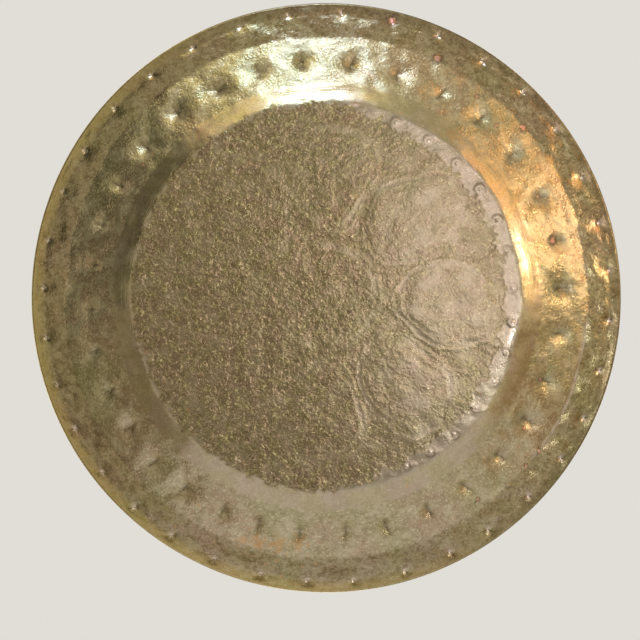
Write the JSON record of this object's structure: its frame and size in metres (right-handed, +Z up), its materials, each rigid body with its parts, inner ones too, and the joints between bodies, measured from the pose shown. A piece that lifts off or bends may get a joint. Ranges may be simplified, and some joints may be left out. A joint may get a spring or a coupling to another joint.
{
  "type": "round tray",
  "caption": "Round brass tray with a flat floor, flared creased wall, bossed flange and wired edge, dark with age.",
  "frame": {"origin": "middle of the underside of the floor, on the surface that the tray stands on", "axes": "+Z up out of the dish, +X and +Y across it; the underside faces -Z"},
  "size_m": [0.3799, 0.38, 0.0244],
  "materials": {
    "tray_brass": "hand-raised and chased sheet brass, dull olive-brown with age, brighter where handled",
    "edge_wire": "drawn iron wire, plain"
  },
  "bodies": {
    "root": {"tray_pan": "tray_brass", "rim_wire": "edge_wire"}
  },
  "joints": []
}
